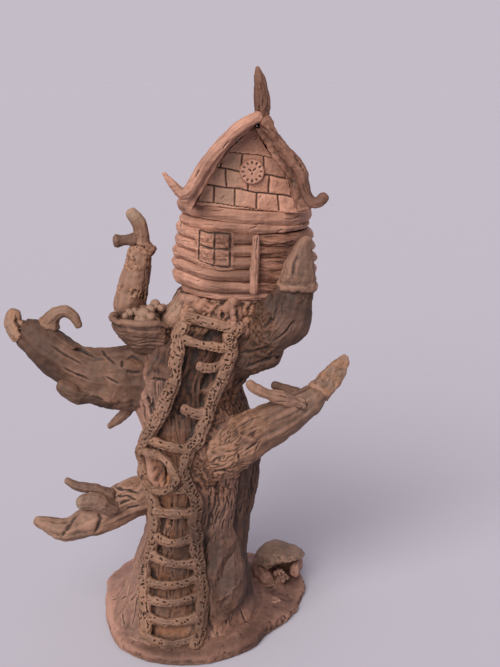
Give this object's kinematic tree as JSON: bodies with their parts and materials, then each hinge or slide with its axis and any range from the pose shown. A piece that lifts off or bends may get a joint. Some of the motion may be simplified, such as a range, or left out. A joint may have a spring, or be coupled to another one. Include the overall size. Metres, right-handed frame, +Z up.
{
  "type": "clay tree house sculpture",
  "caption": "Hand-built clay tree with upswept branches, a rope ladder, a nest and a log cottage held in its crown, on a flat slab.",
  "frame": {"origin": "on the flat underside of the slab, below the axis of the trunk", "axes": "+Z up the trunk to the finial, +X to the side of the hand that holds the cottage, -Y out of the face with the ladder"},
  "size_m": [0.2661, 0.1818, 0.4479],
  "materials": {
    "clay_base": "matte",
    "clay_trunk": "matte",
    "clay_branch": "matte",
    "clay_ladder": "matte",
    "clay_house": "matte"
  },
  "bodies": {
    "root": {"base_slab": "clay_base", "trunk": "clay_trunk", "root_toe": "clay_trunk", "burrow_mound": "clay_base", "burrow_hood": "clay_base", "burrow_pellets": "clay_base", "snail_curl": "clay_base", "lower_left_branch": "clay_branch", "lower_left_twig": "clay_branch", "lower_left_knot": "clay_branch", "left_arm": "clay_branch", "left_arm_tip": "clay_branch", "left_arm_hook": "clay_branch", "left_arm_spur": "clay_branch", "broken_twig": "clay_branch", "nest_bowl": "clay_branch", "nest_eggs": "clay_branch", "nest_arm": "clay_branch", "nest_arm_finger": "clay_branch", "nest_arm_twig": "clay_branch", "nest_arm_stub": "clay_branch", "right_branch": "clay_branch", "right_branch_blade": "clay_branch", "right_finger_front": "clay_branch", "right_finger_rear": "clay_branch", "house_hand": "clay_branch", "house_thumb": "clay_branch", "ladder_rail_left": "clay_ladder", "ladder_rail_right": "clay_ladder", "ladder_ring": "clay_ladder", "ladder_rung_01": "clay_ladder", "ladder_rung_02": "clay_ladder", "ladder_rung_03": "clay_ladder", "ladder_rung_04": "clay_ladder", "ladder_rung_05": "clay_ladder", "ladder_rung_06": "clay_ladder", "ladder_rung_07": "clay_ladder", "ladder_rung_08": "clay_ladder", "ladder_rung_09": "clay_ladder", "ladder_rung_10": "clay_ladder", "ladder_rung_11": "clay_ladder", "ladder_rung_12": "clay_ladder", "ladder_rung_13": "clay_ladder", "house_floor": "clay_house", "wall_log_1": "clay_house", "wall_log_2": "clay_house", "wall_log_3": "clay_house", "wall_log_4": "clay_house", "wall_log_5": "clay_house", "door_post": "clay_house", "eaves_band_lower": "clay_house", "eaves_band_upper": "clay_house", "gable_front": "clay_house", "gable_rear": "clay_house", "clock_disc": "clay_house", "roof_slab_left": "clay_house", "roof_slab_right": "clay_house", "barge_roll_left": "clay_house", "barge_roll_right": "clay_house", "roof_finial": "clay_house"}
  },
  "joints": []
}
